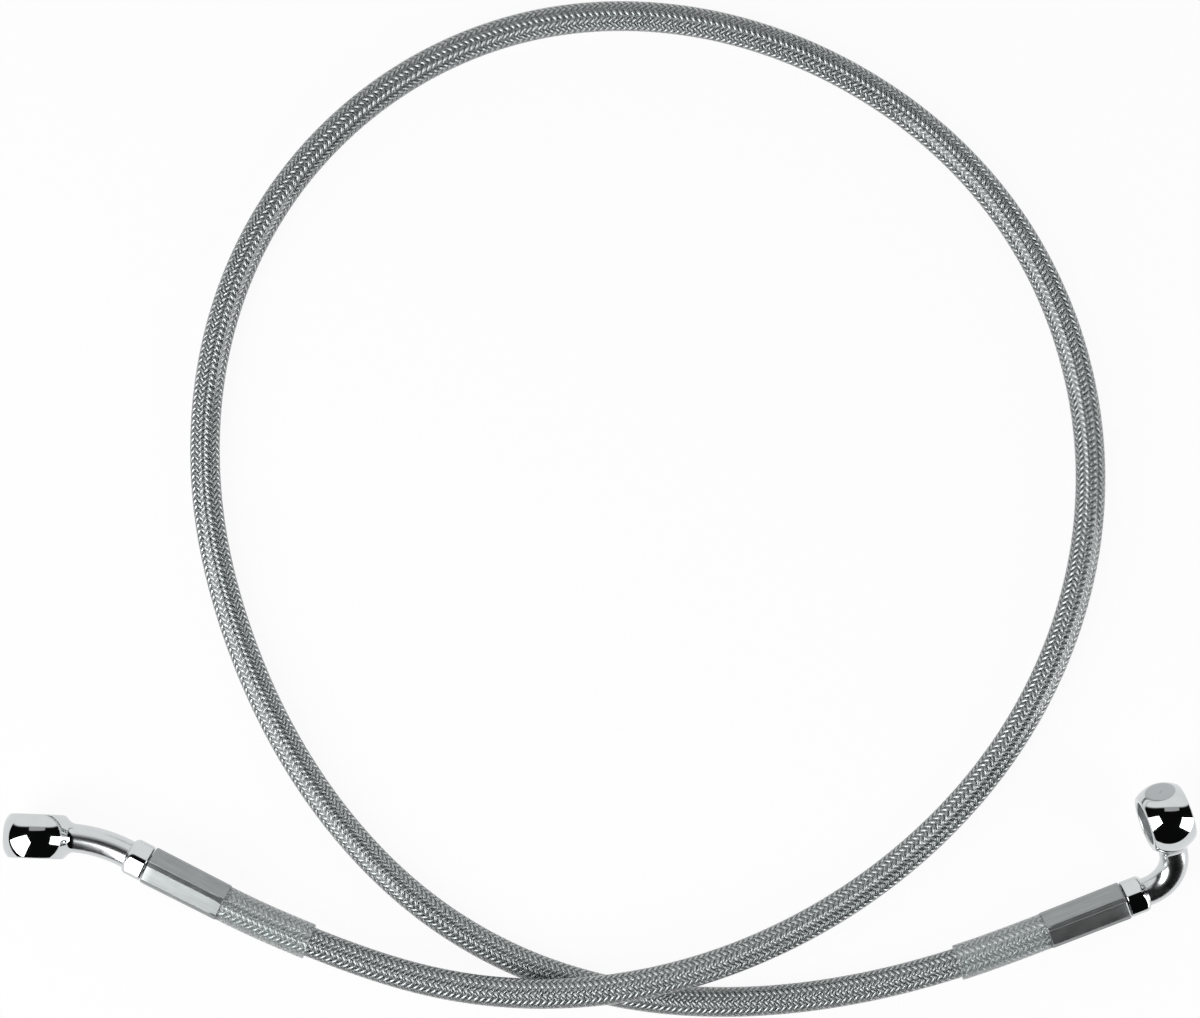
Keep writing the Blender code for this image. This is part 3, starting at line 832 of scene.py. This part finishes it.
# Banjo fittings, as the zero level of a distance to their metal
class Banjo:
    """Distances to the metal of one banjo in its own frame, negative inside."""

    def __init__(self, end):
        self.bend, self.bend_r = end["bend"], end["bend_r"]
        self.bend_start = WRENCH_START + WRENCH_LENGTH + end["straight_run"]
        self.eye_run = end["eye_run"]
        self.land_turn = end["land_turn"]
        self.outward = np.array([math.sin(self.bend), 0.0, math.cos(self.bend)])
        self.bore_axis = np.array([math.cos(self.bend), 0.0, -math.sin(self.bend)])
        self.bend_end = self.on_bend(np.array([self.bend]))[0]
        self.eye = self.bend_end + self.eye_run * self.outward

    def on_bend(self, turn):
        """Points on the middle line of the neck's bend, at angles from its start."""
        x = self.bend_r * (1 - np.cos(turn))
        z = self.bend_start + self.bend_r * np.sin(turn)
        return np.column_stack([x, np.zeros_like(x), z])

    def eye_and_neck(self, points):
        """Distances to the ball eye with its cone and neck, to its bolt hole and to the passage's middle."""
        x, y, z = points.T
        from_eye = points - self.eye
        ahead = from_eye @ self.outward
        sideways = np.abs(from_eye @ self.bore_axis)
        straight = np.hypot(np.hypot(x, y), z - np.clip(z, 0.0, self.bend_start))
        turn = np.clip(np.arctan2(z - self.bend_start, self.bend_r - x), 0.0, self.bend)
        curved = np.linalg.norm(points - self.on_bend(turn), axis=1)
        run = np.clip(ahead, -self.eye_run, 0.0)
        to_eye = np.linalg.norm(from_eye - run[:, None] * self.outward, axis=1)
        middle = np.minimum(np.minimum(straight, curved), to_eye)
        above_wrench = np.maximum(straight - NECK_R, WRENCH_START + WRENCH_LENGTH / 2 - z)
        neck = np.minimum(np.minimum(above_wrench, curved - NECK_R), to_eye - NECK_R)
        rounded = np.where(ahead < 0, ahead * BALL_R / NECK_SIDE_R, ahead)
        from_axis = np.hypot(sideways, y)
        ball = np.hypot(rounded, from_axis) - BALL_R
        boss = from_axis * math.cos(BOSS_SLOPE) - rounded * math.sin(BOSS_SLOPE) - BALL_R
        boss = np.maximum(boss, rounded + BALL_R * math.sin(BOSS_SLOPE))
        ball = np.minimum(ball, boss)
        ball = soft_max(ball, sideways - EYE_THICKNESS / 2, EDGE_SOFTNESS)
        flat_at = math.sqrt(BALL_R**2 - BALL_END_FLAT_R**2)
        ball = soft_max(ball, ahead - flat_at, EDGE_SOFTNESS)
        mark = np.linalg.norm(from_eye - (flat_at + CENTRE_MARK_RISE) * self.outward, axis=1)
        ball = soft_max(ball, CENTRE_MARK_R - mark, SMALL_SOFTNESS)
        hole = np.sqrt(np.maximum((from_eye**2).sum(1) - sideways**2, 0.0)) - BOLT_HOLE_R
        return soft_min(ball, neck, CREASE_SOFTNESS), hole, middle

    def wrench(self, points):
        """Six flats with round lands between them, chamfered where the neck comes out."""
        x, y, z = points.T
        across = np.hypot(x, y)
        sides = across - WRENCH_R
        for k in range(FLATS):
            direction = self.land_turn + (2 * k + 1) * math.pi / FLATS
            flat = x * math.cos(direction) + y * math.sin(direction) - FLAT_SHARE * WRENCH_R
            sides = soft_max(sides, flat, LAND_SOFTNESS)
        ends = np.abs(z - WRENCH_START - WRENCH_LENGTH / 2) - WRENCH_LENGTH / 2
        chamfer_at = WRENCH_R + WRENCH_START + WRENCH_LENGTH - WRENCH_CHAMFER
        chamfer = (across + z - chamfer_at) * COS_45
        return soft_max(soft_max(sides, ends, WRENCH_END_SOFTNESS), chamfer, WRENCH_CHAMFER_SOFTNESS)

    def nipple(self, points):
        """Shank and barbs inside the collar."""
        x, y, z = points.T
        saw = ((SHANK_START - z) % BARB_PITCH) / BARB_PITCH
        radius = np.where(z > SHANK_START, SHANK_R, NIPPLE_R + (BARB_R - NIPPLE_R) * (1 - saw))
        ends = np.maximum(NIPPLE_TIP - z, z - WRENCH_START - SHANK_IN_WRENCH)
        return np.maximum(np.hypot(x, y) - radius, ends)

    def finishes(self, points):
        """How satin the surface is, and how many mm inside the edge of the ball's faced end it is."""
        hole = self.eye_and_neck(points)[1]
        from_eye = points - self.eye
        ahead = from_eye @ self.outward
        from_axis = np.linalg.norm(from_eye - ahead[:, None] * self.outward, axis=1)
        faced = np.where(ahead > 0, BALL_END_FLAT_R - from_axis, -BALL_R)
        beyond_wrench = points[:, 2] > WRENCH_START + WRENCH_LENGTH
        satin = np.clip((-NECK_SIDE_R - ahead) / SATIN_FADE, 0.0, 1.0) * SATIN_NECK * beyond_wrench
        return {"satin": np.where(np.abs(hole) < SATIN_REACH, SATIN_BORE, satin), "faced": faced / MM}

    def __call__(self, points):
        """Distances to the whole fitting, with its hole and passage taken out."""
        metal, hole, middle = self.eye_and_neck(points)
        metal = soft_min(metal, self.wrench(points), SMALL_SOFTNESS)
        metal = np.minimum(metal, self.nipple(points))
        metal = soft_max(metal, -hole, BORE_EDGE_SOFTNESS)
        return soft_max(metal, PASSAGE_R - middle, SMALL_SOFTNESS)


def slope(solid, points, step):
    """Direction in which the distance grows fastest."""
    steps = step * np.eye(3)
    return np.column_stack([solid(points + s) - solid(points - s) for s in steps]) / (2 * step)


def level_surface(solid, low, high, cell):
    """Quads on the zero level of a distance, one point in each cell that the level crosses."""
    blocks = np.ceil((high - low) / (cell * COARSE_CELLS)).astype(int) + 1
    size = blocks * COARSE_CELLS

    def distance_at(index):
        return solid(low + cell * index)

    # Distances at the cells' corners, worked out finely only near the surface
    coarse_index = np.argwhere(np.ones(blocks, bool)) * COARSE_CELLS
    coarse = distance_at(coarse_index).reshape(blocks)
    field = coarse
    for axis in range(3):
        field = np.repeat(field, COARSE_CELLS, axis=axis)
    near = np.argwhere(np.abs(field) < NEAR_CELLS * cell)
    field[tuple(near.T)] = distance_at(near)

    # One point in each crossed cell, at the middle of its crossings and then moved onto the surface
    corner = np.array([(i, j, k) for i in (0, 1) for j in (0, 1) for k in (0, 1)])
    near = near[(near < size - 1).all(axis=1)]
    values = np.stack([field[tuple((near + c).T)] for c in corner], axis=1)
    crossed = (values.min(axis=1) < 0) & (values.max(axis=1) >= 0)
    cells, values = near[crossed], values[crossed]
    total, count = np.zeros((len(cells), 3)), np.zeros(len(cells))
    for a, b in itertools.combinations(range(len(corner)), 2):
        if np.abs(corner[a] - corner[b]).sum() == 1:
            cut = (values[:, a] < 0) != (values[:, b] < 0)
            share = values[cut, a] / (values[cut, a] - values[cut, b])
            total[cut] += corner[a] + share[:, None] * (corner[b] - corner[a])
            count[cut] += 1
    points = low + cell * (cells + total / count[:, None])
    for _ in range(SNAP_ROUNDS):
        away = slope(solid, points, SLOPE_CELLS * cell)
        points = points - solid(points)[:, None] * away / (away**2).sum(axis=1, keepdims=True)

    # A quad round each edge between two corners where the metal begins or ends
    number = np.full(size, -1, np.int32)
    number[tuple(cells.T)] = np.arange(len(cells))
    inside = field < 0
    quads = []
    for axis in range(3):
        ahead = np.roll(inside, -1, axis=axis)
        for leaving in (True, False):
            edge = np.argwhere((inside & ~ahead) if leaving else (~inside & ahead))
            edge = edge[(edge > 0).all(axis=1) & (edge < size - 1).all(axis=1)]
            u, v = np.roll(np.eye(3, dtype=int), -1 - axis, axis=0)[:2]
            ring = [edge - u - v, edge - v, edge, edge - u]
            quad = np.column_stack([number[tuple(r.T)] for r in ring])
            quads.append(quad if leaving else quad[:, ::-1])
    return points, np.vstack(quads), unit(slope(solid, points, SLOPE_CELLS * cell))


chrome = chrome_plate()
for side, end in ENDS.items():
    node = side + "_banjo_fitting"
    solid = Banjo(end)
    vertices = np.array([v.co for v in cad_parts[node].data.vertices])
    local = placed(vertices, frames[side].inverted())
    low = local.min(axis=0) - MARGIN_CELLS * BANJO_CELL
    high = local.max(axis=0) + MARGIN_CELLS * BANJO_CELL
    points, quads, normals = level_surface(solid, low, high, BANJO_CELL)
    mesh = bpy.data.meshes.new(side + "_banjo")
    mesh.from_pydata(placed(points, frames[side]).tolist(), [], quads.tolist())
    for finish, amount in solid.finishes(points).items():
        mesh.attributes.new(finish, "FLOAT", "POINT").data.foreach_set("value", amount.astype(np.float32))
    banjo = show(side + "_banjo", mesh, chrome)
    mesh.normals_split_custom_set_from_vertices(normals @ np.array(frames[side].to_3x3()).T)
    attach(banjo, side + "_end")
    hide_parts(node)


# White table, shown white to the eye and in the metal, with the line's own shadow on it
def table_white():
    material, tree = new_material("white_table")
    path = add(tree, "LightPath")
    seen = add(
        tree, "Math", {"operation": "ADD"}, links={0: (path, "Is Camera Ray"), 1: (path, "Is Glossy Ray")}
    )
    seen = add(
        tree, "Math", {"operation": "ADD", "use_clamp": True},
        links={0: (seen, 0), 1: (path, "Is Transmission Ray")},
    )
    share = add(tree, "Math", {"operation": "MULTIPLY"}, {1: BACKDROP_SHARE}, {0: (seen, 0)})
    paint = add(tree, "BsdfDiffuse", values={"Color": linear("#F8F8F8")})
    glow = add(tree, "Emission", values={"Color": linear("#FFFFFF"), "Strength": 1.0})
    mix = add(tree, "MixShader", links={"Fac": (share, 0), 1: (paint, 0), 2: (glow, 0)})
    add(tree, "OutputMaterial", links={"Surface": (mix, 0)})
    return material


floor_mesh = bpy.data.meshes.new("table")
half = FLOOR_SIZE / 2
table_corners = [(-half, -half, 0), (half, -half, 0), (half, half, 0), (-half, half, 0)]
floor_mesh.from_pydata(table_corners, [], [(0, 1, 2, 3)])
floor_mesh.materials.append(table_white())
floor = bpy.data.objects.new("table", floor_mesh)
bpy.context.scene.collection.objects.link(floor)

# Room: a white card with a lower grey card behind the loop, dark overhead
world = bpy.data.worlds.new("studio")
bpy.context.scene.world = world
world.use_nodes = True
room = world.node_tree
room.nodes.clear()
direction = add(room, "TexCoord")
split = add(room, "SeparateXYZ", links={"Vector": (direction, "Generated")})
sideways = add(room, "Math", {"operation": "POWER"}, {1: 2.0}, {0: (split, "X")})
bowed = add(room, "Math", {"operation": "MULTIPLY_ADD"}, {1: CARD_BOW}, {0: (sideways, 0), 2: (split, "Y")})
card = add(
    room, "MapRange", {"interpolation_type": "SMOOTHSTEP"},
    {"From Min": CARD_EDGE[0], "From Max": CARD_EDGE[1], "To Min": CEILING_LIGHT, "To Max": CARD_LIGHT},
    {"Value": (bowed, 0)},
)
low_card = add(
    room, "MapRange", {"interpolation_type": "SMOOTHSTEP"},
    {"From Min": LOW_CARD_EDGE[0], "From Max": LOW_CARD_EDGE[1], "To Min": 0.0, "To Max": LOW_CARD_LIGHT},
    {"Value": (split, "Y")},
)
from_middle = add(room, "Math", {"operation": "SUBTRACT"}, {1: LOW_CARD_MIDDLE}, {0: (split, "X")})
from_middle = add(room, "Math", {"operation": "ABSOLUTE"}, links={0: (from_middle, 0)})
width = add(
    room, "MapRange", {"interpolation_type": "SMOOTHSTEP"},
    {"From Min": LOW_CARD_SIDE[1], "From Max": LOW_CARD_SIDE[0], "To Min": 1.0, "To Max": 0.0},
    {"Value": (from_middle, 0)},
)
low_card = add(room, "Math", {"operation": "MULTIPLY"}, links={0: (low_card, 0), 1: (width, 0)})
cards = add(room, "Math", {"operation": "MAXIMUM"}, links={0: (card, 0), 1: (low_card, 0)})
lit = add(room, "Background", values={"Color": linear("#FFFFFF")}, links={"Strength": (cards, 0)})
add(room, "OutputWorld", links={"Surface": (lit, 0)})

# Soft boxes at both sides
for name, box in SOFT_BOXES.items():
    lamp = bpy.data.lights.new(name, "AREA")
    lamp.shape = "RECTANGLE"
    lamp.size, lamp.size_y = box["width"], box["height"]
    lamp.energy = box["watts"]
    soft_box = bpy.data.objects.new(name, lamp)
    across = Vector(box["width_along"]).normalized()
    back = across.cross(Vector(box["height_along"])).normalized()
    turn = Matrix((across, back.cross(across), back)).transposed()
    soft_box.matrix_world = Matrix.Translation(box["centre"]) @ turn.to_4x4()
    soft_box.visible_camera = False
    bpy.context.scene.collection.objects.link(soft_box)

bpy.context.scene.view_settings.view_transform = "Standard"
